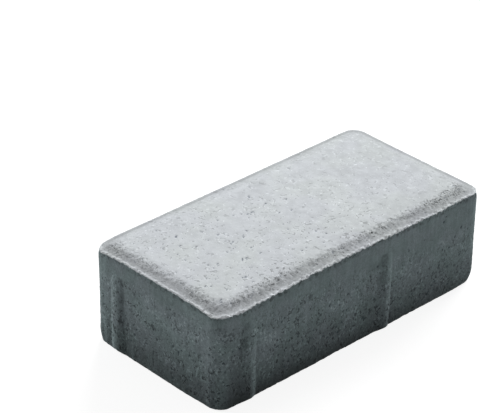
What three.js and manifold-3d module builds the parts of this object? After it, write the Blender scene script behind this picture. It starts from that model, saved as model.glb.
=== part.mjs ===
// Concrete paving stone with spacer nibs, pressed face up in a steel mould.
// Millimetres, +Z up. The origin is the centre of the bed face, X runs along the stone.
import * as THREE from "three";
import { mergeVertices } from "three/addons/utils/BufferGeometryUtils.js";
import Module from "manifold-3d";

// Block, measured between its plain side faces
const stoneLength = 200;
const stoneWidth = 100;
const stoneHeight = 60;
const cornerRadius = 8; // upright corners
const bedEdgeRadius = 0.6; // rubbed edge round the bed face

// Chamfer round the wearing face: a level lip, then an ogee that rises to the plateau
const lipEdgeRadius = 0.5; // outer edge of the lip
const lipWidth = 1.3; // from the side face to the foot of the ogee
const chamferWidth = 11.5; // from the side face to the plateau
const chamferDrop = 2; // from the plateau down to the lip
const ogeeFootReach = 3.8; // how far the hollow foot of the ogee stays level
const ogeeBrowReach = 4; // how far its rounded brow stays level
const plateauCornerRadius = 7;

// Spacer nibs: round-backed ribs that keep the joint open between two stones
const nibPitch = 101; // from one nib to the next along a side
const nibOffset = 20; // from the start of a side to its first nib, going round the stone
const nibWidth = 11; // across the back, under the head
const nibFlare = 1.5; // extra width at the bed face
const nibReach = 1.6; // how far a nib stands out of the side face
const nibFootReach = 0.7; // and at the bed face, where its foot is drawn back
const nibFootLength = 5; // stretch over which the foot is drawn back
const nibHeight = 48; // bed face to the tip of the head
const nibHeadLength = 4; // tapered stretch at the top
const nibHeadWidth = 9; // across the tip of the head
const nibRoot = 1; // how deep a nib is rooted in the block, behind its bed edge

// Fineness of the curves
const cornerSteps = 8;
const edgeSteps = 3;
const ogeeSteps = 12;
const nibBackSteps = 10;
const nibFootSteps = 3;
const nibHeadSteps = 5;

const concreteGrey = 0xb9bcbd;

const wasm = await Module();
wasm.setup();

// A closed skin over level rings of equal point counts, given from the lowest to the highest.
function loft(rings) {
  const count = rings[0].length;
  const positions = rings.flat().flatMap((point) => point.toArray());
  const faces = [];
  for (let level = 0; level + 1 < rings.length; level++) {
    for (let side = 0; side < count; side++) {
      const next = (side + 1) % count;
      const low = level * count;
      const high = low + count;
      faces.push(low + side, low + next, high + next);
      faces.push(low + side, high + next, high + side);
    }
  }
  const cap = THREE.ShapeUtils.triangulateShape(rings[0], []);
  const last = (rings.length - 1) * count;
  for (const [a, b, c] of cap) {
    faces.push(a, c, b);
    faces.push(last + a, last + b, last + c);
  }
  const geometry = new THREE.BufferGeometry();
  geometry.setAttribute("position", new THREE.Float32BufferAttribute(positions, 3));
  geometry.setIndex(faces);
  return geometry;
}

function toSolid(geometry) {
  const merged = mergeVertices(geometry);
  return new wasm.Manifold(
    new wasm.Mesh({
      numProp: 3,
      vertProperties: merged.attributes.position.array,
      triVerts: new Uint32Array(merged.index.array),
    }),
  );
}

function toGeometry(solid) {
  const mesh = solid.getMesh();
  const geometry = new THREE.BufferGeometry();
  geometry.setAttribute("position", new THREE.BufferAttribute(mesh.vertProperties, 3));
  geometry.setIndex(new THREE.BufferAttribute(mesh.triVerts, 1));
  geometry.computeVertexNormals();
  return geometry;
}

// The outline of the stone at one height, drawn in by the same inset on every side.
function outlineRing(inset, height) {
  const halfLength = stoneLength / 2 - inset;
  const halfWidth = stoneWidth / 2 - inset;
  const radius = THREE.MathUtils.lerp(cornerRadius, plateauCornerRadius, inset / chamferWidth);
  const centres = [
    [halfLength - radius, halfWidth - radius],
    [radius - halfLength, halfWidth - radius],
    [radius - halfLength, radius - halfWidth],
    [halfLength - radius, radius - halfWidth],
  ];
  const quarter = Math.PI / 2;
  const points = centres.flatMap(([x, y], turn) => {
    const corner = new THREE.EllipseCurve(x, y, radius, radius, turn * quarter, (turn + 1) * quarter);
    return corner.getPoints(cornerSteps);
  });
  return points.map((point) => new THREE.Vector3(point.x, point.y, height));
}

// Quarter round from the bed face to the side face: x is the inset, y the height.
function bedEdge() {
  const radius = bedEdgeRadius;
  return new THREE.EllipseCurve(radius, radius, radius, radius, -Math.PI / 2, -Math.PI, true);
}

// The edge profile from the bed face up to the plateau: x is the inset, y the height.
function edgeProfile() {
  const lipHeight = stoneHeight - chamferDrop;
  const lipEdge = new THREE.EllipseCurve(
    lipEdgeRadius, lipHeight - lipEdgeRadius, lipEdgeRadius, lipEdgeRadius, Math.PI, Math.PI / 2, true,
  );
  const ogee = new THREE.CubicBezierCurve(
    new THREE.Vector2(lipWidth, lipHeight),
    new THREE.Vector2(lipWidth + ogeeFootReach, lipHeight),
    new THREE.Vector2(chamferWidth - ogeeBrowReach, stoneHeight),
    new THREE.Vector2(chamferWidth, stoneHeight),
  );
  return [
    ...bedEdge().getPoints(edgeSteps),
    ...lipEdge.getPoints(edgeSteps),
    ...ogee.getPoints(ogeeSteps),
  ];
}

// Width and reach of a nib at one height: drawn back at the foot, domed at the head.
function nibSize(height) {
  const { clamp, lerp } = THREE.MathUtils;
  const foot = clamp(height / nibFootLength, 0, 1);
  const climb = clamp((height - nibHeight + nibHeadLength) / nibHeadLength, 0, 1);
  const back = nibWidth + nibFlare * (1 - height / nibHeight);
  return {
    width: lerp(back, nibHeadWidth, climb ** 2),
    reach: lerp(nibFootReach, nibReach, Math.sin((foot * Math.PI) / 2)) * Math.cos((climb * Math.PI) / 2),
  };
}

// One level of a rib on a side face that looks along +Y: its crest is at x = 0 and the face at y = 0.
// The inset draws the whole section in, as the bed edge does to the side face beside it.
function nibRing(height, inset) {
  const { width, reach } = nibSize(height);
  const root = -(bedEdgeRadius + nibRoot);
  const ring = [];
  for (let step = 0; step <= nibBackSteps; step++) {
    const across = 1 - (2 * step) / nibBackSteps;
    const bulge = reach * (1 - across ** 2);
    ring.push(new THREE.Vector3((across * width) / 2, bulge - inset, height));
  }
  ring.push(new THREE.Vector3(-width / 2, root, height));
  ring.push(new THREE.Vector3(width / 2, root, height));
  return ring;
}

function nib() {
  const edge = bedEdge().getPoints(edgeSteps).map((point) => nibRing(point.y, point.x));
  const foot = [];
  for (let step = 1; step <= nibFootSteps; step++) {
    foot.push(nibRing(THREE.MathUtils.lerp(bedEdgeRadius, nibFootLength, step / nibFootSteps), 0));
  }
  const head = [];
  for (let step = 0; step <= nibHeadSteps; step++) {
    head.push(nibRing(nibHeight - nibHeadLength * (1 - step / nibHeadSteps), 0));
  }
  return loft([...edge, ...foot, ...head]);
}

// Going round the stone, every side starts its row of nibs at the same distance from its corner.
function nibPlaces() {
  const halfLength = stoneLength / 2;
  const halfWidth = stoneWidth / 2;
  const sides = [
    { start: [-halfLength, -halfWidth], run: [1, 0], length: stoneLength },
    { start: [halfLength, -halfWidth], run: [0, 1], length: stoneWidth },
    { start: [halfLength, halfWidth], run: [-1, 0], length: stoneLength },
    { start: [-halfLength, halfWidth], run: [0, -1], length: stoneWidth },
  ];
  const places = [];
  for (const { start, run, length } of sides) {
    const facing = Math.atan2(run[1], run[0]) + Math.PI;
    for (let along = nibOffset; along < length - nibOffset; along += nibPitch) {
      const x = start[0] + run[0] * along;
      const y = start[1] + run[1] * along;
      places.push({ x, y, facing });
    }
  }
  return places;
}

function pavingStone() {
  const rings = edgeProfile().map((point) => outlineRing(point.x, point.y));
  let stone = toSolid(loft(rings));
  for (const { x, y, facing } of nibPlaces()) {
    const rib = nib().rotateZ(facing).translate(x, y, 0);
    stone = stone.add(toSolid(rib));
  }
  const concrete = new THREE.MeshStandardMaterial({
    color: concreteGrey,
    roughness: 0.95,
    metalness: 0,
  });
  const mesh = new THREE.Mesh(toGeometry(stone), concrete);
  mesh.name = "paving_stone";
  return mesh;
}

const model = new THREE.Group();
model.add(pavingStone());

export default model;
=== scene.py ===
# Concrete paving stone: moulded form, cast relief, porous concrete and a plain studio.
import math
import random

import bmesh
import bpy
from mathutils import Matrix, Vector, kdtree, noise


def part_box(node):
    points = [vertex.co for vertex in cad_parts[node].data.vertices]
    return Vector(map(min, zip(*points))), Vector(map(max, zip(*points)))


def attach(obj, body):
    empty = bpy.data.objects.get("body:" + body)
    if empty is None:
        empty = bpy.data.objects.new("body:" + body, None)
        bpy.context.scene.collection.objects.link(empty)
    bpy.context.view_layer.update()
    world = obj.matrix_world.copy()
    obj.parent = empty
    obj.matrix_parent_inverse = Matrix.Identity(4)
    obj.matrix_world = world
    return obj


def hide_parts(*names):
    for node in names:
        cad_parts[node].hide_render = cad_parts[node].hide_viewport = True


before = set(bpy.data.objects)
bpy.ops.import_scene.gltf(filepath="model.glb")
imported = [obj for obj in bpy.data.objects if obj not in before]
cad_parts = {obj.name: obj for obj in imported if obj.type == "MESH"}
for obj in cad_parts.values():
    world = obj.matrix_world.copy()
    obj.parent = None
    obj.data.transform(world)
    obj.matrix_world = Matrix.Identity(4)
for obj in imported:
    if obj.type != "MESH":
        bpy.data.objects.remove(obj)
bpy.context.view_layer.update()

mm = 0.001

stone = {
    "cornerRadius": 8 * mm,
    "bedEdge": 0.6 * mm,
    "lipEdge": 0.5 * mm,
    "lipWidth": 1.3 * mm,
    "chamferWidth": 11.5 * mm,
    "chamferDrop": 2 * mm,
    "footReach": 3.8 * mm,
    "browReach": 4 * mm,
    "plateauCorner": 7 * mm,
    "nibPitch": 101 * mm,
    "nibOffset": 20 * mm,
    "nibWidth": 11 * mm,
    "nibFlare": 1.5 * mm,
    "nibReach": 1.6 * mm,
    "nibFootReach": 0.7 * mm,
    "nibFootLength": 5 * mm,
    "nibHeight": 48 * mm,
    "nibHead": 4 * mm,
    "nibHeadWidth": 9 * mm,
    "nibCrest": 2.3,         # 2 is a plain arc, more is a rubbed, flatter back
    # going round from the front left corner: what wear has left of each nib, of its foot and
    # of its width, how far its crest leans to a root, and its shift at foot and head
    "nibWear": [
        (0.8, 0.9, 1, 0.4, -0.2 * mm, 0.6 * mm), (0.85, 1.5, 1, 0.45, -0.6 * mm, 1.6 * mm),
        (0.9, 0.8, 0.95, 0.2, 0, 0.4 * mm),
        (0.8, 0.9, 1, -0.1, 0.4 * mm, 0), (0.85, 1.1, 0.95, 0.2, 0, -0.5 * mm),
        (1.0, 0.4, 0.9, -0.05, 0.3 * mm, -0.2 * mm),
    ],
    "nibShadeReach": 2.4,          # how far from the middle of a nib its painted shade reaches, in half widths
    "cell": 0.8 * mm,        # mesh spacing on the faces that show
    "bedCell": 3 * mm,       # and on the bed face
    "bedHem": 2.4 * mm,      # strip between the bed edge and that coarser mesh
    "edgeCrowding": 1.6,     # rows that are drawn towards each edge
    "crowdedRows": 2.5,
}

low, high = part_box("paving_stone")
halfLength = (high[0] - low[0]) / 2 - stone["nibReach"]
halfWidth = (high[1] - low[1]) / 2 - stone["nibReach"]
height = high[2] - low[2]
lipHeight = height - stone["chamferDrop"]
sideTop = lipHeight - stone["lipEdge"]


def smooth(value):
    value = min(max(value, 0.0), 1.0)
    return value * value * (3 - 2 * value)


def ramp(value, start, end):
    return smooth((value - start) / (end - start))


def hump(value, start, full, last, end):
    # rises from 0 to 1 between start and full, and falls back between last and end
    return ramp(value, start, full) * (1 - ramp(value, last, end))


def crowd(place, half, rows):
    # place runs from -1 to 1 in even steps; the rows move closer together near both edges
    fromEdge = (1 - abs(place)) * rows / 2
    squeeze = stone["edgeCrowding"] * (1 - math.exp(-fromEdge / stone["crowdedRows"]))
    rowSize = half / (rows / 2 - stone["edgeCrowding"])
    return math.copysign(half - rowSize * (fromEdge - squeeze), place)


# the hollow and brow of the chamfer, as (inset, climb) points of one bezier curve
ogee = [
    (stone["lipWidth"], 0.0),
    (stone["lipWidth"] + stone["footReach"], 0.0),
    (stone["chamferWidth"] - stone["browReach"], stone["chamferDrop"]),
    (stone["chamferWidth"], stone["chamferDrop"]),
]


def bezier(points, turn):
    rest = 1 - turn
    weights = (rest ** 3, 3 * rest * rest * turn, 3 * rest * turn * turn, turn ** 3)
    return [sum(w * p[axis] for w, p in zip(weights, points)) for axis in (0, 1)]


def faceHeight(inset):
    # height of the wearing side at this distance in from the side face
    if inset < stone["lipEdge"]:
        gap = stone["lipEdge"] - inset
        return sideTop + math.sqrt(max(stone["lipEdge"] ** 2 - gap * gap, 0))
    if inset <= stone["lipWidth"]:
        return lipHeight
    if inset >= stone["chamferWidth"]:
        return height
    # the place on the curve is found by halving
    start, end = 0.0, 1.0
    for step in range(18):
        middle = (start + end) / 2
        if bezier(ogee, middle)[0] < inset:
            start = middle
        else:
            end = middle
    return lipHeight + bezier(ogee, start)[1]


def cornerRadius(inset):
    share = inset / stone["chamferWidth"]
    if share < 1:
        return stone["cornerRadius"] + (stone["plateauCorner"] - stone["cornerRadius"]) * share
    return max(stone["plateauCorner"] * (2 - share), 0)


def roundCorner(x, y, inset):
    # moves a point of the square ring at this inset onto the rounded one
    radius = cornerRadius(inset)
    coreX = max(halfLength - inset - radius, 0)
    coreY = max(halfWidth - inset - radius, 0)
    x = min(max(x, inset - halfLength), halfLength - inset)
    y = min(max(y, inset - halfWidth), halfWidth - inset)
    alongX = abs(x) - coreX
    alongY = abs(y) - coreY
    if alongX <= 0 or alongY <= 0 or radius <= 0:
        return x, y
    # the square corner's two legs are laid evenly along the arc
    turn = alongY / radius * 45 if alongX >= alongY else 90 - alongX / radius * 45
    angle = math.radians(turn)
    return (
        math.copysign(coreX + radius * math.cos(angle), x),
        math.copysign(coreY + radius * math.sin(angle), y),
    )


def nibPlaces():
    # (centre, direction of the run, outward normal); every side starts its row at its own corner
    sides = [
        (Vector((-halfLength, -halfWidth)), Vector((1, 0)), 2 * halfLength),
        (Vector((halfLength, -halfWidth)), Vector((0, 1)), 2 * halfWidth),
        (Vector((halfLength, halfWidth)), Vector((-1, 0)), 2 * halfLength),
        (Vector((-halfLength, halfWidth)), Vector((0, -1)), 2 * halfWidth),
    ]
    places = []
    for start, run, length in sides:
        along = stone["nibOffset"]
        while along < length - stone["nibOffset"]:
            places.append((start + run * along, run, Vector((run.y, -run.x))))
            along += stone["nibPitch"]
    return places


nibs = nibPlaces()


def nibBulge(x, y, z):
    # how far the nibs push this point of a side face out, how far across its nib it lies, from
    # -1 at one root to 1 at the other, the one that the crest leans to, and how far it leans
    rise = z / stone["nibHeight"]
    climb = min(max((z - stone["nibHeight"]) / stone["nibHead"] + 1, 0), 1)
    foot = math.sin(math.pi / 2 * min(z / stone["nibFootLength"], 1))
    width = stone["nibWidth"] + stone["nibFlare"] * (1 - rise)
    width += (stone["nibHeadWidth"] - width) * climb ** 2
    head = math.cos(math.pi / 2 * climb)
    for (centre, run, outward), wear in zip(nibs, stone["nibWear"]):
        proud, footProud, broad, lean, footShift, headShift = wear
        offset = Vector((x, y)) - centre
        shift = footShift + (headShift - footShift) * rise
        across = (offset.dot(run) - shift) / (width * broad / 2)
        if abs(across) < stone["nibShadeReach"] and abs(offset.dot(outward)) < stone["cornerRadius"] / 2:
            reach = stone["nibFootReach"] * footProud
            reach += (stone["nibReach"] * proud - reach) * foot
            leant = across - lean * max(1 - across * across, 0)
            push = reach * head * max(1 - abs(leant) ** stone["nibCrest"], 0)
            return outward * push, across * math.copysign(1, lean), abs(lean)
    return Vector((0, 0)), 3, 0    # 3 half widths, well off any nib


def drawRim(bm, rim):
    grown = bmesh.ops.extrude_edge_only(bm, edges=rim)["geom"]
    verts = [item for item in grown if isinstance(item, bmesh.types.BMVert)]
    edges = [item for item in grown if isinstance(item, bmesh.types.BMEdge) and item.is_boundary]
    faces = [item for item in grown if isinstance(item, bmesh.types.BMFace)]
    return verts, edges, faces


def buildLattice():
    # a plain box two units wide: fine grid on top, rows drawn down its sides, coarse grid below
    columns = 2 * round(halfLength / stone["cell"])
    ranks = 2 * round(halfWidth / stone["cell"])
    rows = 2 * round(sideTop / stone["cell"] / 2)
    bm = bmesh.new()
    bm.verts.layers.float.new("inset")    # first, because a new layer outdates every vert in hand
    bmesh.ops.create_grid(bm, x_segments=columns, y_segments=ranks, size=1)
    bmesh.ops.translate(bm, verts=bm.verts, vec=(0, 0, 1))
    rim = [edge for edge in bm.edges if edge.is_boundary]
    for row in range(rows):
        verts, rim, faces = drawRim(bm, rim)
        bmesh.ops.translate(bm, verts=verts, vec=(0, 0, -2 / rows))
        for face in faces:
            face.material_index = 1
    grid = bmesh.ops.create_grid(
        bm,
        x_segments=round(2 * halfLength / stone["bedCell"]),
        y_segments=round(2 * halfWidth / stone["bedCell"]),
        size=1,
    )["verts"]
    hemX = 1 - (stone["bedEdge"] + stone["bedHem"]) / halfLength
    hemY = 1 - (stone["bedEdge"] + stone["bedHem"]) / halfWidth
    bmesh.ops.scale(bm, verts=grid, vec=(hemX, hemY, 1))
    bmesh.ops.translate(bm, verts=grid, vec=(0, 0, -1))
    hem = {edge for vert in grid for edge in vert.link_edges if edge.is_boundary}
    edges = rim + list(hem)
    filled = bmesh.ops.triangle_fill(bm, use_beauty=True, edges=edges, normal=(0, 0, -1))
    for face in {face for vert in grid for face in vert.link_faces} | set(filled["geom"]):
        if isinstance(face, bmesh.types.BMFace):
            face.material_index = 2
    return bm, columns, ranks, rows, set(grid)


def shapeBlock():
    # warps the plain box to the moulded form, and keeps how far in each point lies
    bm, columns, ranks, rows, bed = buildLattice()
    insetLayer = bm.verts.layers.float["inset"]
    for vert in bm.verts:
        x, y, level = vert.co
        if vert in bed:
            x *= halfLength
            y *= halfWidth
            inset = min(halfLength - abs(x), halfWidth - abs(y))
            z = 0
        else:
            x = crowd(x, halfLength, columns)
            y = crowd(y, halfWidth, ranks)
            inset = min(halfLength - abs(x), halfWidth - abs(y))
            if level > 1 - 1e-6:
                z = faceHeight(inset)
            else:
                z = sideTop / 2 + crowd(level, sideTop / 2, rows)
                gap = max(stone["bedEdge"] - z, 0)
                inset = stone["bedEdge"] - math.sqrt(max(stone["bedEdge"] ** 2 - gap * gap, 0))
                x *= 1 - inset / halfLength
                y *= 1 - inset / halfWidth
        x, y = roundCorner(x, y, inset)
        if level < 1 - 1e-6 and vert not in bed:
            push = nibBulge(x, y, z)[0]
            x += push.x
            y += push.y
            inset = z - sideTop      # on the side faces it is kept as the way down from the lip
        vert.co = (x, y, z)
        vert[insetLayer] = inset
    bmesh.ops.recalc_face_normals(bm, faces=bm.faces)
    bm.normal_update()
    print("block shaped:", len(bm.verts), "points")
    return bm


relief = {
    "seed": 11,
    # where the lip sank in the mould, or stands up: centre, reach along x and y, depth
    "sags": [
        ((-82 * mm, -51 * mm), (28 * mm, 6 * mm), 1.4 * mm),
        ((-94.5 * mm, -50 * mm), (4.5 * mm, 5 * mm), -1.0 * mm),
        ((-101 * mm, -42 * mm), (5 * mm, 6 * mm), 1.0 * mm),
        ((-101 * mm, 50 * mm), (10 * mm, 12 * mm), 1.6 * mm),
        ((100 * mm, -50 * mm), (8 * mm, 8 * mm), 0.7 * mm),
        ((62 * mm, -51 * mm), (10 * mm, 6 * mm), 0.3 * mm),
        ((84 * mm, -51 * mm), (10 * mm, 6 * mm), -0.3 * mm),
        ((-4 * mm, -51 * mm), (22 * mm, 6 * mm), -0.5 * mm),
        ((0, -51 * mm), (90 * mm, 6 * mm), -0.2 * mm),
        ((-101 * mm, 0), (6 * mm, 50 * mm), -0.6 * mm),
        ((100 * mm, 0), (6 * mm, 60 * mm), 0.6 * mm),
        ((0, 51 * mm), (90 * mm, 6 * mm), 0.15 * mm),
    ],
    "sagBottom": 20 * mm,        # the side faces follow the sag down to here
    # how far the bed corners are rubbed off, and how high and how far along that reaches
    "cornerWear": [
        ((-1, -1), 0.3 * mm), ((1, -1), 2.3 * mm),
        ((1, 1), 1.4 * mm), ((-1, 1), 1.3 * mm),
    ],
    "cornerWearRise": 8 * mm,
    "cornerWearReach": 9 * mm,
    "cornerLight": 0.8,            # painted light: how much lighter the upright corners are made
    "seamRub": 0.5,              # and the thin line beside each of them on the two ends
    "seamOffset": 1.2 * mm,
    "lipRag": 0.6 * mm,
    "lipRagSize": 1.4 * mm,
    "lipRagIn": (0.8 * mm, 3.2 * mm),      # where the lip turns calm, going in from the side face
    "lipRagDown": (0.2 * mm, 2.4 * mm),    # and going down it
    "endRag": 0.5,               # how ragged the left end is, next to the front
    "lipChip": 1.3 * mm,
    "plateauWave": 0.14 * mm,
    "plateauWaveSize": 34 * mm,
    "sideWave": 0.3 * mm,
    "sideWaveSize": 38 * mm,
    "drag": 0.12 * mm,           # upright marks that the mould leaves as it is drawn off
    "dragSize": 2.4 * mm,
    "dragStretch": 14,
    "grainSize": 2.2 * mm,
    "sideGrain": 0.16 * mm,
    "chamferGrain": 0.1 * mm,
    "browGrain": 0.3 * mm,       # the coarse, open band along the top of the chamfer,
    "browBand": (2 * mm, 7.5 * mm, 9 * mm, 12 * mm),       # and where it lies
    "plateauGrain": 0.05 * mm,
    "bedGrain": 0.5 * mm,
    "bedGrainSize": 7 * mm,
    "underLip": 0.3 * mm,        # a shallow groove below the lip, and how far down it lies
    "underLipBand": (4 * mm, 1.6 * mm, 1.2 * mm, 0),
    "edgeChip": 0.35 * mm,
    "edgeChipSize": 6 * mm,
    "pitReach": 0.6 * mm,
    "pitDepth": 0.45 * mm,
    "rightCalm": 0.45,           # how much smaller the pores are on the right of the plateau
    "plateauPits": 270,
    "plateauClusters": 55,
    "chamferPits": 900,
    "sidePits": 1700,
    "bedPits": 260,
}


def ripple(x, y, z, size, layers=1):
    # smooth noise about zero, mostly between -0.5 and 0.5, with bumps of this size;
    # each layer is moved on, so that no two line up
    total, strength, reach = 0.0, 1.0, size
    for layer in range(layers):
        place = Vector((x / reach + 7.3 * layer, y / reach - 3.1 * layer, z / reach + 1.7))
        total += noise.noise(place) * strength
        strength *= 0.6
        reach *= 0.5
    return total


def lipSag(x, y):
    sag = 0
    for centre, reach, depth in relief["sags"]:
        away = ((x - centre[0]) / reach[0]) ** 2 + ((y - centre[1]) / reach[1]) ** 2
        sag += depth * math.exp(-away)
    return sag


def coarseness(x, y):
    # the mould filled worse along the front and the left end: 1 there, less on the other two
    ahead = min(x + halfLength, y + halfWidth)
    behind = min(halfLength - x, halfWidth - y)
    return 0.25 + 0.75 * ramp(behind - ahead, -13 * mm, 3 * mm)


def settleLip(bm):
    # lets the lip sag at the corners, and the chamfer and the side faces go with it
    inset = bm.verts.layers.float["inset"]
    for vert in bm.verts:
        x, y, z = vert.co
        if z >= sideTop - 1e-6:
            share = 1 - ramp(vert[inset], stone["lipWidth"], stone["chamferWidth"])
            near = 1 - ramp(vert[inset], *relief["lipRagIn"])
        else:
            share = ramp(z, relief["sagBottom"], sideTop)
            near = 1 - ramp(sideTop - z, *relief["lipRagDown"])
        if share > 0:
            vert.co.z -= lipSag(x, y) * share
        if near > 0:
            onEnd = relief["endRag"] + (1 - relief["endRag"]) * ramp(x, -98 * mm, -92 * mm)
            near *= coarseness(x, y) ** 2 * onEnd
            size = relief["lipRagSize"]
            rag = 1.7 * ripple(x, y, 0, size, 2) + 0.9 * ripple(x, y, 0, 0.9 * mm)
            vert.co.z -= relief["lipRag"] * rag * near
            chip = max(ripple(x, y, z, size, 2) - 0.1, 0) * relief["lipChip"] * near
            vert.co -= Vector((vert.normal.x, vert.normal.y, 0)) * chip


def wearCorners(bm):
    # the corners of the bed face are rounded off by handling
    for vert in bm.verts:
        x, y, z = vert.co
        if z < relief["cornerWearRise"]:
            share = (1 - z / relief["cornerWearRise"]) ** 2
            for (sideX, sideY), depth in relief["cornerWear"]:
                away = math.hypot(x - sideX * halfLength, y - sideY * halfWidth)
                away /= relief["cornerWearReach"]
                wear = depth * share * math.exp(-away * away) / math.sqrt(2)
                vert.co.x -= sideX * wear
                vert.co.y -= sideY * wear


def topRelief(x, y, z, inset):
    # soft waves on the plateau, grain on the chamfer and open grain along its brow
    wave = 0.55 + ripple(x, y, 0, relief["plateauWaveSize"], 2)
    onChamfer = 1 - ramp(inset, 10 * mm, 14 * mm)
    onBrow = hump(inset, *relief["browBand"]) * coarseness(x, y)
    grain = relief["plateauGrain"] + (relief["chamferGrain"] - relief["plateauGrain"]) * onChamfer
    grain += relief["browGrain"] * onBrow
    depth = max(relief["plateauWave"] * wave, 0) + grain * ripple(x, y, z, relief["grainSize"], 2)
    return depth + relief["browGrain"] * 0.4 * onBrow


def sideRelief(x, y, z):
    # waves, drag marks, grain that is coarser low down, a groove below the lip, a chipped foot
    grain = relief["sideGrain"] * (1.35 - ramp(z, 30 * mm, 48 * mm)) * ramp(z, 0, 5 * mm)
    depth = relief["sideWave"] * ripple(x, y, z, relief["sideWaveSize"], 2)
    depth += relief["drag"] * ripple(x, y, z / relief["dragStretch"], relief["dragSize"], 2)
    depth += grain * ripple(x, y, z, relief["grainSize"], 2)
    groove = hump(z, *[sideTop - down for down in relief["underLipBand"]])
    depth += relief["underLip"] * groove * (1 + ripple(x, y, z, 5 * mm))
    chip = relief["edgeChip"] * (1 - ramp(z, 0.5 * mm, 3 * mm))
    return depth + chip * max(ripple(x, y, z, relief["edgeChipSize"], 3) - 0.1, 0)


def castRelief(vert, inset):
    # depth of the cast surface below the moulded form at one point
    x, y, z = vert.co
    if vert.normal.z < -0.7:
        grain = 0.35 + ripple(x, y, 0, relief["bedGrainSize"], 3)
        return relief["bedGrain"] * max(grain, 0)
    if inset > 0.2 * mm and z > sideTop - 3 * mm:
        return topRelief(x, y, z, inset)
    return sideRelief(x, y, z)


def alongEdge(run, inset):
    # the point this far round the stone, this far in from its side faces
    sides = (
        (2 * halfLength, (-1, -1), (1, 0)), (2 * halfWidth, (1, -1), (0, 1)),
        (2 * halfLength, (1, 1), (-1, 0)), (2 * halfWidth, (-1, 1), (0, -1)),
    )
    for length, corner, step in sides:
        if run <= length:
            x = corner[0] * halfLength + step[0] * run
            y = corner[1] * halfWidth + step[1] * run
            break
        run -= length
    reachX, reachY = halfLength - inset, halfWidth - inset
    return roundCorner(max(min(x, reachX), -reachX), max(min(y, reachY), -reachY), inset)


def poreShrink(x):
    return 1 - relief["rightCalm"] * ramp(x, 0, 70 * mm)


def scatterPits(draw):
    # seeds of the pores as (place, size); more of them near the brow and low on the side faces
    seeds = []
    flatX = halfLength - stone["chamferWidth"]
    flatY = halfWidth - stone["chamferWidth"]
    while len(seeds) < relief["plateauPits"]:
        x, y = draw.uniform(-flatX, flatX), draw.uniform(-flatY, flatY)
        if draw.random() < 0.75 - 0.4 * x / flatX - 0.2 * y / flatY:
            size = (0.1 + 0.9 * draw.random() ** 2) * poreShrink(x)
            seeds.append((Vector((x, y, height)), size))
    for cluster in range(relief["plateauClusters"]):
        x, y = draw.uniform(-flatX, flatX), draw.uniform(-flatY, flatY)
        if draw.random() > 0.65 - 0.3 * x / flatX - 0.15 * y / flatY:
            continue
        for pore in range(draw.randint(2, 4)):
            place = Vector((x + draw.gauss(0, 1.3 * mm), y + draw.gauss(0, 0.8 * mm), height))
            seeds.append((place, draw.uniform(0.25, 1) * poreShrink(x)))
    perimeter = 4 * (halfLength + halfWidth)
    for pore in range(relief["chamferPits"]):
        inset = draw.gauss(7.6 * mm, 2.2 * mm)
        x, y = alongEdge(draw.uniform(0, perimeter), inset)
        if draw.random() < coarseness(x, y) ** 2:
            seeds.append((Vector((x, y, faceHeight(inset))), 0.1 + 0.7 * draw.random() ** 1.5))
    for pore in range(relief["sidePits"]):
        x, y = alongEdge(draw.uniform(0, perimeter), 0)
        z = (1 - math.sqrt(draw.random())) * sideTop * 0.85 + draw.uniform(0, 8 * mm)
        seeds.append((Vector((x, y, z)), 0.1 + 0.95 * draw.random() ** 2))
    for pore in range(relief["bedPits"]):
        x, y = draw.uniform(-halfLength, halfLength), draw.uniform(-halfWidth, halfWidth)
        seeds.append((Vector((x, y, 0)), draw.uniform(0.3, 1)))
    return seeds


def cornerShare(x, y, z):
    # 0 where a rounded upright corner runs into the side faces, up to 1 halfway, more higher up
    alongX = abs(x) - halfLength + stone["cornerRadius"]
    alongY = abs(y) - halfWidth + stone["cornerRadius"]
    if alongX <= 0 or alongY <= 0:
        return 0
    return math.sin(2 * math.atan2(alongY, alongX)) * (0.4 + z / sideTop)


def seamShare(x, y, z):
    # the line that the joint of the mould leaves where the end runs into the corner: 1, more on top
    if abs(x) < halfLength - 2 * mm:
        return 0
    away = abs(y) - halfWidth + stone["cornerRadius"] + relief["seamOffset"]
    return (1 - ramp(abs(away), 0.4 * mm, 1.8 * mm)) * (1 + 1.6 * ramp(z, 28 * mm, 46 * mm))


def nibSheenAndShade(x, y, z):
    # painted highlight on the crest of a nib (above zero), and painted shade on its shaded flank
    # and along its roots (below zero)
    across, lean = nibBulge(x, y, z)[1:]
    edge = 1.4 * lean - 0.66      # where the shaded flank ends and the crest with its painted highlight begins
    crest = hump(across, edge, 0.75, 0.86, 1.02)
    flank = hump(across, -1.15, -0.85, edge, edge + 0.4)
    flank *= 0.3 + 0.7 * ramp(z, 20 * mm, 36 * mm)
    farRoot = hump(across, -stone["nibShadeReach"], -1.3, -1.1, -0.8) * lean
    nearRoot = 0.3 * hump(across, 0.95, 1.1, 1.2, 1.5)
    return crest - flank - farRoot - nearRoot


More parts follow.
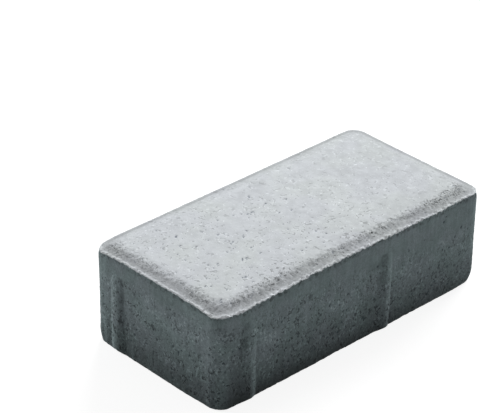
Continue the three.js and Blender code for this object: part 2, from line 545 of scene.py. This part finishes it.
def pressPits(bm):
    # marks how much of a pore each point of the mesh is, how coarse its surroundings are,
    # and the painted light (above zero) and painted shade (below) of the nibs, upright corners and
    # seam lines
    pit = bm.verts.layers.float.new("pit")
    coarse = bm.verts.layers.float.new("coarse")
    sheenShadeAndSeam = bm.verts.layers.float.new("sheenShadeAndSeam")
    bm.verts.ensure_lookup_table()
    tree = kdtree.KDTree(len(bm.verts))
    for vert in bm.verts:
        tree.insert(vert.co, vert.index)
        vert[coarse] = coarseness(vert.co.x, vert.co.y)
        if vert.co.z < stone["nibHeight"] and vert.normal.z > -0.7:
            vert[sheenShadeAndSeam] = nibSheenAndShade(*vert.co) + relief["cornerLight"] * cornerShare(*vert.co)
        if vert.co.z < lipHeight:
            vert[sheenShadeAndSeam] += relief["seamRub"] * seamShare(*vert.co)
    tree.balance()
    for place, size in scatterPits(random.Random(relief["seed"])):
        reach = relief["pitReach"] * (0.6 + size)
        found = tree.find_range(place, reach) or [tree.find(place)]
        for co, index, away in found:
            if away < 3 * mm:
                hollow = (1 - (away / reach) ** 2 if away < reach else 0.4) * size
                bm.verts[index][pit] = max(bm.verts[index][pit], hollow)


def ageStone(bm):
    # pores, cast relief and a ragged lip, all pressed in along the surface's own direction
    inset = bm.verts.layers.float["inset"]
    settleLip(bm)
    wearCorners(bm)
    bm.normal_update()
    pressPits(bm)
    pit = bm.verts.layers.float["pit"]
    moves = [
        vert.normal * (castRelief(vert, vert[inset]) + relief["pitDepth"] * vert[pit])
        for vert in bm.verts
    ]
    for vert, move in zip(bm.verts, moves):
        place = vert.co - move
        vert.co = [min(max(value, start), end) for value, start, end in zip(place, low, high)]
    print("relief pressed in")


def buildStone():
    bm = shapeBlock()
    ageStone(bm)
    mesh = bpy.data.meshes.new("pavingStone")
    bm.to_mesh(mesh)
    bm.free()
    for polygon in mesh.polygons:
        polygon.use_smooth = True
    piece = bpy.data.objects.new("pavingStone", mesh)
    bpy.context.scene.collection.objects.link(piece)
    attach(piece, "root")
    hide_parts("paving_stone")
    print("stone built:", len(mesh.polygons), "faces")
    return piece


piece = buildStone()

finishes = {
    "wearingFace": {
        "tints": ((0.608, 0.642, 0.653), (0.603, 0.631, 0.66)),
        "pitTint": (0.16, 0.185, 0.225),
        "cloudSize": 26 * mm,
        "patch": 0.075,                # how far patches of some millimetres swing in tone
        "grain": 0.025,                # and the sand
        "markSize": 2 * mm,            # ragged marks: their size,
        "markLevel": (0.645, 0.69),    # where they start and are full,
        "crowding": 0.25,              # and how much they gather in groups
        "lightMarks": 0.3,
        # painted highlight on the thin rims of the dark marks
        "rimHighlight": 0.07,
        "darkMarks": 0.36,
        "dashSize": 4.5 * mm,          # short curved cracks with a light edge: their bend,
        "dashLevel": (0.57, 0.63),     # how few there are,
        "dashes": (0.24, 0.17),        # how dark they are and how light the edge is
        "bump": 0.4,
        # bands of the chamfer, as distances in from the side face
        "browBand": (0, 6.4 * mm, 9.6 * mm, 11.4 * mm),
        "speckBand": (0.2 * mm, 2 * mm, 9 * mm, 11.2 * mm),
        "lipBand": (0.9 * mm, 2 * mm),
        "browMarks": 1.15,             # open grain along the brow of the chamfer
        "browSpecks": 0.18,
        "hollow": 0.31,                # shade in the hollow foot of the chamfer
        "endHollow": 0.1,              # and what the left end adds to it
        "frontDull": 0.055,
        "rightShade": (0.97, 0.965),    # painted shade on the right half of the plateau, and at its end
        "farShade": 0.13,               # painted shade on the lip and chamfer of the two calm edges, which face the back lamp
        "cornerLight": 0.17,             # painted light: how much lighter the chamfer is by the front left corner
        "lipHighlight": 1.1,                # painted highlight on the lip along the front,
        "endLip": 0.13,                # less on the left end,
        "cornerLip": 0.22,             # and less by the front left corner
    },
    "mouldedSide": {
        # darker than the wearing face: partly the concrete's own tone, partly painted shade on the
        # upright faces
        "tints": ((0.179, 0.228, 0.233), (0.19, 0.23, 0.243)),
        "pitTint": (0.03, 0.045, 0.05),
        "cloudSize": 17 * mm,
        "patch": 0.1,
        "grain": 0.17,
        "markSize": 1.4 * mm,
        "markLevel": (0.575, 0.63),
        "crowding": 0.32,
        "lightMarks": 0.46,
        "rimHighlight": 0.1,
        "darkMarks": 0.5,
        "dashSize": 3.2 * mm,
        "dashLevel": (0.55, 0.62),
        "dashes": (0.4, 0.35),
        "bump": 0.6,
        "streaks": 0.05,               # upright marks of the mould
        "bedShade": (0.34, 0.5),       # painted shade at the bed: the tone left there on the left and on the right,
        "rightFoot": 0.12,             # more at the right end,
        "frontFoot": 0.07,             # less along the front
        "contactShade": 0.5,                # painted contact shade along the foot of the front side
        "cornerShade": 0.08,           # on the front side near its left end
        "nibShade": 0.16,              # left of the first nib
        # painted shadow just under the lip
        "underLip": 0.88,
        "crown": 0.13,                 # light top of the front left corner
        # painted light where the layer is above zero: nib crests, upright corners and seam lines
        "sheenLight": 0.12,
        # painted shade on the nib flanks and along their roots
        "flankAndRootShade": 0.3,
        "raggedShadow": 0.45,                  # painted shadow in ragged teeth below the lip, and where it lies
        "raggedShadowBand": (-3.4 * mm, -2 * mm, -0.7 * mm, -0.2 * mm),
        "lipEdgeLight": 2.1,                   # painted highlight: the lip's own light edge hangs over the side face
    },
    "bedFace": {
        "tints": ((0.2, 0.22, 0.22), (0.23, 0.24, 0.235)),
        "pitTint": (0.05, 0.055, 0.055),
        "cloudSize": 20 * mm,
        "patch": 0.12,
        "grain": 0.25,
        "markSize": 1.6 * mm,
        "markLevel": (0.56, 0.68),
        "crowding": 0.5,
        "lightMarks": 0.4,
        "rimHighlight": 0.1,
        "darkMarks": 0.5,
        "dashSize": 4 * mm,
        "dashLevel": (0.55, 0.62),
        "dashes": (0.3, 0.2),
        "bump": 0.6,
    },
}


def feed(tree, socket, value):
    if isinstance(value, bpy.types.NodeSocket):
        tree.links.new(value, socket)
    else:
        socket.default_value = value


def calc(tree, operation, *values):
    node = tree.nodes.new("ShaderNodeMath")
    node.operation = operation
    for socket, value in zip(node.inputs, values):
        feed(tree, socket, value)
    return node.outputs[0]


def product(tree, *values):
    total = values[0]
    for value in values[1:]:
        total = calc(tree, "MULTIPLY", total, value)
    return total


def scaled(tree, value, factor, start=1):
    # start + factor * value
    return calc(tree, "MULTIPLY_ADD", value, factor, start)


def remap(tree, value, start, end, low, high):
    node = tree.nodes.new("ShaderNodeMapRange")
    node.interpolation_type = "SMOOTHSTEP"
    for name, number in (("Value", value), ("From Min", start), ("From Max", end),
                         ("To Min", low), ("To Max", high)):
        feed(tree, node.inputs[name], number)
    return node.outputs["Result"]


def within(tree, value, start, full, last, end):
    # rises from 0 to 1 between start and full, and falls back between last and end
    return product(tree, remap(tree, value, start, full, 0, 1), remap(tree, value, last, end, 1, 0))


def cloud(tree, place, size, layers=2, roughness=0.5, seed=0):
    node = tree.nodes.new("ShaderNodeTexNoise")
    node.noise_dimensions = "4D"
    feed(tree, node.inputs["Vector"], place)
    feed(tree, node.inputs["W"], seed)
    feed(tree, node.inputs["Scale"], 1 / size)
    feed(tree, node.inputs["Detail"], layers)
    feed(tree, node.inputs["Roughness"], roughness)
    return node.outputs[0]


def wander(tree, place, size, reach, seed):
    # a distance that drifts this far to either side of zero
    return scaled(tree, cloud(tree, place, size, 2, 0.5, seed), 2 * reach, -reach)


def swing(tree, field, strength):
    # turns a noise of 0 to 1 into a factor that swings this far about 1
    return scaled(tree, remap(tree, field, 0.25, 0.75, -1, 1), strength)


def stretched(tree, place, share):
    # draws a pattern out upwards
    drawn = tree.nodes.new("ShaderNodeMapping")
    drawn.inputs["Scale"].default_value = (1, 1, share)
    tree.links.new(place, drawn.inputs["Vector"])
    return drawn.outputs["Vector"]


def attribute(tree, name):
    node = tree.nodes.new("ShaderNodeAttribute")
    node.attribute_name = name
    return node.outputs["Fac"]


def blend(tree, share, first, second):
    node = tree.nodes.new("ShaderNodeMix")
    node.data_type = "RGBA"
    for socket, value in ((0, share), (6, first), (7, second)):
        feed(tree, node.inputs[socket], value)
    return node.outputs[2]


def markField(tree, place, finish, seed):
    # a fine noise over a level that itself wanders, so that what rises over it gathers in groups
    fine = cloud(tree, place, finish["markSize"], 2, 0.5, seed)
    crowded = cloud(tree, place, 9 * finish["markSize"], 1, 0.5, seed + 0.5)
    return scaled(tree, calc(tree, "SUBTRACT", crowded, 0.5), finish["crowding"], fine)


def cracks(tree, place, finish):
    # pieces of the contour lines of a soft noise, and the strip beside each of them
    field = cloud(tree, place, finish["dashSize"], 1, 0.5, 61)
    kept = cloud(tree, place, 0.75 * finish["dashSize"], 1, 0.5, 67)
    kept = remap(tree, kept, *finish["dashLevel"], 0, 1)
    dark = product(tree, within(tree, field, 0.445, 0.48, 0.51, 0.545), kept)
    light = product(tree, within(tree, field, 0.53, 0.565, 0.59, 0.63), kept)
    return dark, light


def speckle(tree, place, finish):
    # light and dark marks, a thin painted highlight round the dark ones, and cracks
    start, full = finish["markLevel"]
    light = remap(tree, markField(tree, place, finish, 11), start, full, 0, 1)
    light = product(tree, light, finish["lightMarks"])
    field = markField(tree, place, finish, 23)
    dark = remap(tree, field, start, full, 0, 1)
    # a thin painted highlight round each dark mark
    rimHighlight = within(tree, field, start - 0.09, start - 0.04, start - 0.02, start + 0.01)
    light = calc(tree, "MAXIMUM", light, product(tree, rimHighlight, finish["rimHighlight"]))
    crack, edge = cracks(tree, place, finish)
    crackDark, edgeLight = finish["dashes"]
    dark = calc(tree, "MAXIMUM", dark, product(tree, crack, crackDark / finish["darkMarks"]))
    return calc(tree, "MAXIMUM", light, product(tree, edge, edgeLight)), dark


def topFields(tree, axes):
    # what the looks of the wearing face share: how far in a point lies and how coarse it is there,
    # and 1 on the left end or by the front left corner
    x, y = axes[:2]
    inset = attribute(tree, "inset")
    return {
        "x": x,
        "y": y,
        "inset": inset,
        # the inset as the brow sees it, which starts later along the front
        "late": calc(tree, "SUBTRACT", inset, remap(tree, y, -38 * mm, -30 * mm, 0.8 * mm, 0)),
        "coarse": attribute(tree, "coarse"),
        "onEnd": remap(tree, x, -95 * mm, -86 * mm, 1, 0),
        "byCorner": product(tree, remap(tree, x, -90 * mm, -74 * mm, 1, 0),
                            remap(tree, y, -40 * mm, -26 * mm, 1, 0)),
    }


def openBrow(tree, place, top, finish, light, dark):
    # coarse open grain in patches along the brow of the chamfer, with light specks beside it
    x, y, coarse, byCorner = top["x"], top["y"], top["coarse"], top["byCorner"]
    along = calc(tree, "ADD", top["late"], wander(tree, place, 7 * mm, 2.2 * mm, 43))
    along = scaled(tree, byCorner, 1.5 * mm, along)
    wide = cloud(tree, place, 24 * mm, 1, 0.5, 37)
    narrow = cloud(tree, place, 4.5 * mm, 1, 0.5, 73)
    patchy = product(tree, remap(tree, wide, 0.4, 0.6, 0.5, 1.25),
                     remap(tree, narrow, 0.38, 0.6, 0.55, 1.3))
    brow = product(tree, within(tree, along, *finish["browBand"]), coarse, patchy,
                   remap(tree, x, -60 * mm, 60 * mm, 0.82, 1.15), scaled(tree, byCorner, -0.3))
    gaps = remap(tree, cloud(tree, place, 1.1 * mm, 2, 0.5, 31), 0.5,
                 remap(tree, along, 6 * mm, 10 * mm, 0.62, 0.66), 0, 1)
    sparse = product(tree, remap(tree, x, 0, halfLength, 1, 0.4),
                     remap(tree, y, -40 * mm, 20 * mm, 1.35, 0.85))
    dark = product(tree, dark, sparse)
    dark = scaled(tree, product(tree, brow, gaps), finish["browMarks"], dark)
    specks = cloud(tree, place, 1.1 * mm, 2, 0.5, 71)
    specks = remap(tree, specks, 0.5, 0.62, 0, finish["browSpecks"])
    specks = product(tree, specks, within(tree, along, *finish["speckBand"]), coarse)
    return calc(tree, "MAXIMUM", light, specks), dark


def plateauTone(tree, top, finish):
    # a little duller along the front, and painted shade towards the right
    front = product(tree, remap(tree, top["y"], -36 * mm, -22 * mm, 1, 0),
                    remap(tree, top["x"], -70 * mm, -40 * mm, 0, 1),
                    remap(tree, top["inset"], 8 * mm, 12 * mm, 0, 1))
    rightShade, rightEnd = finish["rightShade"]
    return product(tree, scaled(tree, front, -finish["frontDull"]),
                   remap(tree, top["x"], 20 * mm, 80 * mm, 1, rightShade),
                   remap(tree, top["x"], 84 * mm, 93 * mm, 1, rightEnd))


def hollowTone(tree, top, finish):
    # shade in the hollow foot of the chamfer, which is wider and deeper on the left end
    foot = scaled(tree, top["onEnd"], 0.35 * mm, 0.4 * mm)
    full = scaled(tree, top["onEnd"], -0.35 * mm, 2.9 * mm)
    sill = remap(tree, top["x"], -60 * mm, -30 * mm, 4.4 * mm, 6.2 * mm)
    hollow = product(tree, remap(tree, top["inset"], foot, full, 0, 1),
                     remap(tree, top["late"], sill, 10 * mm, 1, 0), top["coarse"],
                     scaled(tree, top["onEnd"], finish["endHollow"], finish["hollow"]))
    return calc(tree, "SUBTRACT", 1, hollow)


def cornerTone(tree, top, finish):
    # painted light on the chamfer by the front left corner
    paintedLight = product(tree, remap(tree, top["inset"], 1 * mm, 5.5 * mm, finish["cornerLight"], 0),
                     remap(tree, top["x"], -58 * mm, -38 * mm, 1, 0),
                     remap(tree, top["y"], -36 * mm, -28 * mm, 1, 0))
    return calc(tree, "ADD", paintedLight, 1)


def calmTone(tree, top, finish):
    # painted shade on the two calm edges, which face the back lamp, most of all on their lip
    far = scaled(tree, remap(tree, top["inset"], 2 * mm, 3.5 * mm, 1, 0), 1.2,
                 remap(tree, top["inset"], 8 * mm, 12 * mm, 1, 0))
    far = product(tree, far, remap(tree, top["coarse"], 0.3, 0.9, 1, 0))
    return scaled(tree, far, -finish["farShade"])


def lipHighlight(tree, top, finish):
    # painted highlight: the lip is paler than the face along the front, less on the left end and by
    # the front left corner
    lip = product(tree, remap(tree, top["x"], -86 * mm, -66 * mm, 1, 0),
                  remap(tree, top["y"], -47 * mm, -43 * mm, 1, 0))
    lip = scaled(tree, lip, -finish["cornerLip"],
                 scaled(tree, top["onEnd"], -finish["endLip"], finish["lipHighlight"]))
    return remap(tree, top["inset"], *finish["lipBand"], lip, 1)


def ageTop(tree, place, axes, finish, light, dark, shade):
    top = topFields(tree, axes)
    light, dark = openBrow(tree, place, top, finish, light, dark)
    for tone in (plateauTone, hollowTone, cornerTone, calmTone, lipHighlight):
        shade = product(tree, shade, tone(tree, top, finish))
    return light, dark, shade


def speckleShare(tree, place, axes):
    # the speckle is thick below, thins out towards the lip and gathers in groups
    x, z = axes[0], axes[2]
    risen = calc(tree, "ADD", wander(tree, place, 22 * mm, 7 * mm, 41),
                 remap(tree, x, -60 * mm, 70 * mm, -4 * mm, 9 * mm))
    groups = cloud(tree, place, 4.5 * mm, 1, 0.5, 83)
    return product(tree, remap(tree, z, 8 * mm, 26 * mm, 1.2, 0.95),
                   remap(tree, x, 0, 50 * mm, 1, 0.88),
                   remap(tree, calc(tree, "ADD", z, risen), 37 * mm, 52 * mm, 1, 0.15),
                   remap(tree, groups, 0.38, 0.6, 0.58, 1.26))


def sideTone(tree, place, axes, finish, sheenAndSeam):
    # painted shade, darker towards the bed, lifted where painted light lies on nib crests, corners
    # and seams, with upright drag marks
    x, y, z = axes
    drag = cloud(tree, stretched(tree, place, 0.06), 1.8 * mm, 3)
    onFront = remap(tree, y, -50 * mm, -46 * mm, 1, 0)
    onEnd = remap(tree, x, -95 * mm, -86 * mm, 1, 0)
    # painted shade at the bed, along the foot of the front side, near its left end and beside the
    # first nib
    foot = scaled(tree, onFront, -finish["frontFoot"],
                  remap(tree, x, -90 * mm, 80 * mm, *finish["bedShade"]))
    foot = calc(tree, "ADD", foot, remap(tree, x, 58 * mm, 74 * mm, 0, finish["rightFoot"]))
    byCorner = product(tree, remap(tree, x, -95 * mm, -60 * mm, 1, 0), onFront)
    contactShade = product(tree, remap(tree, z, 0, 11 * mm, finish["contactShade"], 0), onFront,
                      remap(tree, x, 15 * mm, 60 * mm, 1, 0.6))
    byNib = product(tree, within(tree, x, -97 * mm, -92 * mm, -86 * mm, -80 * mm), onFront,
                    within(tree, z, 4 * mm, 12 * mm, 30 * mm, 42 * mm))
    footShade = product(tree, remap(tree, z, -4 * mm, 38 * mm, foot, 1),
                   scaled(tree, byCorner, -finish["cornerShade"]),
                   calc(tree, "SUBTRACT", 1, contactShade), scaled(tree, byNib, -finish["nibShade"]))
    # painted light lifts that shade where the layer is above zero, and near the back of the left
    # end
    back = product(tree, onEnd, remap(tree, y, 28 * mm, 40 * mm, 0, 0.16))
    lift = scaled(tree, sheenAndSeam, scaled(tree, onEnd, 0.45, 0.55), back)
    footShade = scaled(tree, calc(tree, "SUBTRACT", 1, footShade), lift, footShade)
    # painted shadow just under the lip
    line = remap(tree, z, sideTop - 4 * mm, sideTop - 1.5 * mm, 1, finish["underLip"])
    crown = product(tree, remap(tree, x, -97 * mm, -91 * mm, 1, 0),
                    remap(tree, y, -47 * mm, -41 * mm, 1, 0),
                    remap(tree, z, 34 * mm, 46 * mm, 0, finish["crown"]))
    return product(tree, swing(tree, drag, finish["streaks"]), footShade, line,
                   calc(tree, "ADD", crown, 1))


def lipOverhang(tree, place, mottle, axes, finish):
    # the lip's ragged light edge as a painted highlight, with painted shadow in ragged teeth below
    # it
    inset = attribute(tree, "inset")
    ragged = scaled(tree, cloud(tree, place, 1.6 * mm, 2, 0.6, 53), 5 * mm,
                    remap(tree, axes[0], -98 * mm, -90 * mm, -2.7 * mm, -2.4 * mm))
    lipEdgeLight = remap(tree, calc(tree, "ADD", inset, ragged), -0.1 * mm, 0.25 * mm, 1, finish["lipEdgeLight"])
    raggedShadow = remap(tree, cloud(tree, mottle, 2 * mm, 2, 0.5, 59), 0.49, 0.62, 0, finish["raggedShadow"])
    raggedShadow = product(tree, raggedShadow, within(tree, inset, *finish["raggedShadowBand"]),
                   remap(tree, attribute(tree, "coarse"), 0.3, 0.9, 0.25, 1))
    return product(tree, lipEdgeLight, calc(tree, "SUBTRACT", 1, raggedShadow))


def ageSide(tree, place, mottle, axes, finish, shade):
    # painted light on the nib crests, upright corners and seam lines, painted shade on the nib
    # flanks and roots
    sheenShadeAndSeam = attribute(tree, "sheenShadeAndSeam")
    sheenAndSeam = calc(tree, "MAXIMUM", sheenShadeAndSeam, 0)
    spots = remap(tree, cloud(tree, place, 6 * mm, 2, 0.5, 47), 0.4, 0.6, 0.35, 1.35)
    flankAndRootShade = product(tree, calc(tree, "MINIMUM", sheenShadeAndSeam, 0), spots)
    return product(tree, shade, scaled(tree, sheenAndSeam, finish["sheenLight"]),
                   scaled(tree, flankAndRootShade, finish["flankAndRootShade"]),
                   sideTone(tree, place, axes, finish, sheenAndSeam),
                   lipOverhang(tree, place, mottle, axes, finish))


def concreteColour(tree, place, finish, grain, shade):
    # two close tints in clouds, as dark as the shade says, and the pores darker, partly painted
    # shade in their hollows
    first, second = [(*tint, 1) for tint in finish["tints"]]
    share = remap(tree, cloud(tree, place, finish["cloudSize"]), 0.38, 0.62, 0, 1)
    shaded = tree.nodes.new("ShaderNodeVectorMath")
    shaded.operation = "SCALE"
    tree.links.new(blend(tree, share, first, second), shaded.inputs[0])
    tree.links.new(shade, shaded.inputs["Scale"])
    pore = scaled(tree, calc(tree, "SUBTRACT", grain, 0.5), 0.7, attribute(tree, "pit"))
    return blend(tree, remap(tree, pore, 0.15, 0.7, 0, 0.8), shaded.outputs[0],
                 (*finish["pitTint"], 1))


def sandBump(tree, place, finish, grain, dark):
    # grains of two sizes stand out, and the dark marks lie lower
    fine = cloud(tree, place, 0.45 * mm, 2, 0.6, 7)
    level = calc(tree, "ADD", product(tree, grain, 0.6), product(tree, fine, 0.4))
    bump = tree.nodes.new("ShaderNodeBump")
    bump.inputs["Strength"].default_value = finish["bump"]
    bump.inputs["Distance"].default_value = 0.25 * mm
    tree.links.new(scaled(tree, dark, -1, level), bump.inputs["Height"])
    return bump.outputs["Normal"]


def concreteFinish(name):
    finish = finishes[name]
    material = bpy.data.materials.new(name)
    material.use_nodes = True
    tree = material.node_tree
    place = tree.nodes.new("ShaderNodeTexCoord").outputs["Object"]
    split = tree.nodes.new("ShaderNodeSeparateXYZ")
    tree.links.new(place, split.inputs[0])
    axes = list(split.outputs)

    grain = cloud(tree, place, 0.85 * mm, 2, 0.6, 3)
    mottle = place if name == "wearingFace" else stretched(tree, place, 0.75)
    light, dark = speckle(tree, mottle, finish)
    patch, sand = finish["patch"], finish["grain"]
    if name == "wearingFace":
        patch = product(tree, remap(tree, axes[0], -60 * mm, 0, 0.75, 1.1), patch)
    shade = swing(tree, cloud(tree, place, 6 * mm, 3, 0.5, 5), patch)
    if name == "wearingFace":
        light, dark, shade = ageTop(tree, place, axes, finish, light, dark, shade)
    if name == "mouldedSide":
        rough = speckleShare(tree, place, axes)
        light = product(tree, light, rough)
        dark = product(tree, dark, rough)
        sand = product(tree, scaled(tree, rough, 0.4, 0.7), sand)
        shade = ageSide(tree, place, mottle, axes, finish, shade)
    shade = product(tree, shade, swing(tree, grain, sand), scaled(tree, light, 1),
                    scaled(tree, dark, -finish["darkMarks"]))

    shader = tree.nodes["Principled BSDF"]
    shader.inputs["Roughness"].default_value = 0.92
    shader.inputs["Specular IOR Level"].default_value = 0.2
    feed(tree, shader.inputs["Base Color"], concreteColour(tree, place, finish, grain, shade))
    feed(tree, shader.inputs["Normal"], sandBump(tree, place, finish, grain, dark))
    return material


for name in finishes:
    piece.data.materials.append(concreteFinish(name))
print("concrete mixed")

stage = {
    "cameraAzimuth": -43.62,
    "cameraElevation": 30.29,
    "cameraRoll": 0.73,
    "cameraDistance": 1.2862,
    "cameraAim": (-0.01039, 0.03042, 0.05542),
    "lens": 174.95,
    "floorSize": 6.0,
    "floorTone": 0.35,       # what the floor sends back to the stone
    "floorGlow": 0.84,       # added where the camera sees it, so that only the shadow shows
    "sky": 0.25,
    # name: where from, watts, width and height
    "lamps": {
        "backSoftbox": ((2.0, 1.05, 1.42), 85, 1.8, 1.4),
        "leftSoftbox": ((-0.6, 1.32, 0.3), 11, 0.7, 0.6),
        "rightSoftbox": ((1.25, -0.75, 0.3), 4.5, 0.8, 0.6),
        "frontSoftbox": ((-1.0, -1.05, 0.35), 1.6, 0.8, 0.6),
    },
}


def facing(place, target):
    return (Vector(place) - Vector(target)).to_track_quat("Z", "Y").to_matrix()


def buildCamera():
    azimuth = math.radians(stage["cameraAzimuth"])
    elevation = math.radians(stage["cameraElevation"])
    level = math.cos(elevation)
    back = Vector((math.sin(azimuth) * level, -math.cos(azimuth) * level, math.sin(elevation)))
    place = Vector(stage["cameraAim"]) + back * stage["cameraDistance"]
    roll = Matrix.Rotation(math.radians(stage["cameraRoll"]), 3, "Z")
    turn = facing(place, stage["cameraAim"]) @ roll
    lens = bpy.data.cameras.new("camera")
    lens.lens = stage["lens"]
    lens.sensor_width = 36
    camera = bpy.data.objects.new("camera", lens)
    camera.matrix_world = Matrix.Translation(place) @ turn.to_4x4()
    bpy.context.scene.collection.objects.link(camera)
    bpy.context.scene.camera = camera


def buildLamps():
    centre = (0, 0, height / 2)
    for name, (place, watts, width, tall) in stage["lamps"].items():
        lamp = bpy.data.lights.new(name, "AREA")
        lamp.shape = "RECTANGLE"
        lamp.size = width
        lamp.size_y = tall
        lamp.energy = watts
        holder = bpy.data.objects.new(name, lamp)
        holder.matrix_world = Matrix.Translation(Vector(place)) @ facing(place, centre).to_4x4()
        bpy.context.scene.collection.objects.link(holder)


def seenRays(tree):
    # 1 for the rays that look at the backdrop, 0 for the light that falls on the stone
    path = tree.nodes.new("ShaderNodeLightPath")
    seen = path.outputs["Is Camera Ray"]
    for other in ("Is Glossy Ray", "Is Transmission Ray"):
        seen = calc(tree, "MAXIMUM", seen, path.outputs[other])
    return seen


def buildFloor():
    mesh = bpy.data.meshes.new("floor")
    bm = bmesh.new()
    bmesh.ops.create_grid(bm, x_segments=1, y_segments=1, size=stage["floorSize"] / 2)
    bm.to_mesh(mesh)
    bm.free()
    floor = bpy.data.objects.new("floor", mesh)
    bpy.context.scene.collection.objects.link(floor)
    material = bpy.data.materials.new("studioFloor")
    material.use_nodes = True
    tree = material.node_tree
    shader = tree.nodes["Principled BSDF"]
    tone = stage["floorTone"]
    shader.inputs["Base Color"].default_value = (tone, tone, tone, 1)
    shader.inputs["Roughness"].default_value = 1
    shader.inputs["Specular IOR Level"].default_value = 0
    glow = tree.nodes.new("ShaderNodeEmission")
    glow.inputs["Color"].default_value = (1, 1, 1, 1)
    feed(tree, glow.inputs["Strength"], product(tree, seenRays(tree), stage["floorGlow"]))
    joined = tree.nodes.new("ShaderNodeAddShader")
    tree.links.new(shader.outputs["BSDF"], joined.inputs[0])
    tree.links.new(glow.outputs["Emission"], joined.inputs[1])
    tree.links.new(joined.outputs[0], tree.nodes["Material Output"].inputs["Surface"])
    mesh.materials.append(material)


def buildSky():
    world = bpy.data.worlds.new("sky")
    bpy.context.scene.world = world
    world.use_nodes = True
    tree = world.node_tree
    background = tree.nodes["Background"]
    background.inputs["Color"].default_value = (1, 1, 1, 1)
    level = tree.nodes.new("ShaderNodeMapRange")
    level.inputs["To Min"].default_value = stage["sky"]
    level.inputs["To Max"].default_value = 1
    tree.links.new(seenRays(tree), level.inputs["Value"])
    tree.links.new(level.outputs["Result"], background.inputs["Strength"])


buildCamera()
buildLamps()
buildFloor()
buildSky()
bpy.context.scene.view_settings.view_transform = "Standard"
print("stage built")
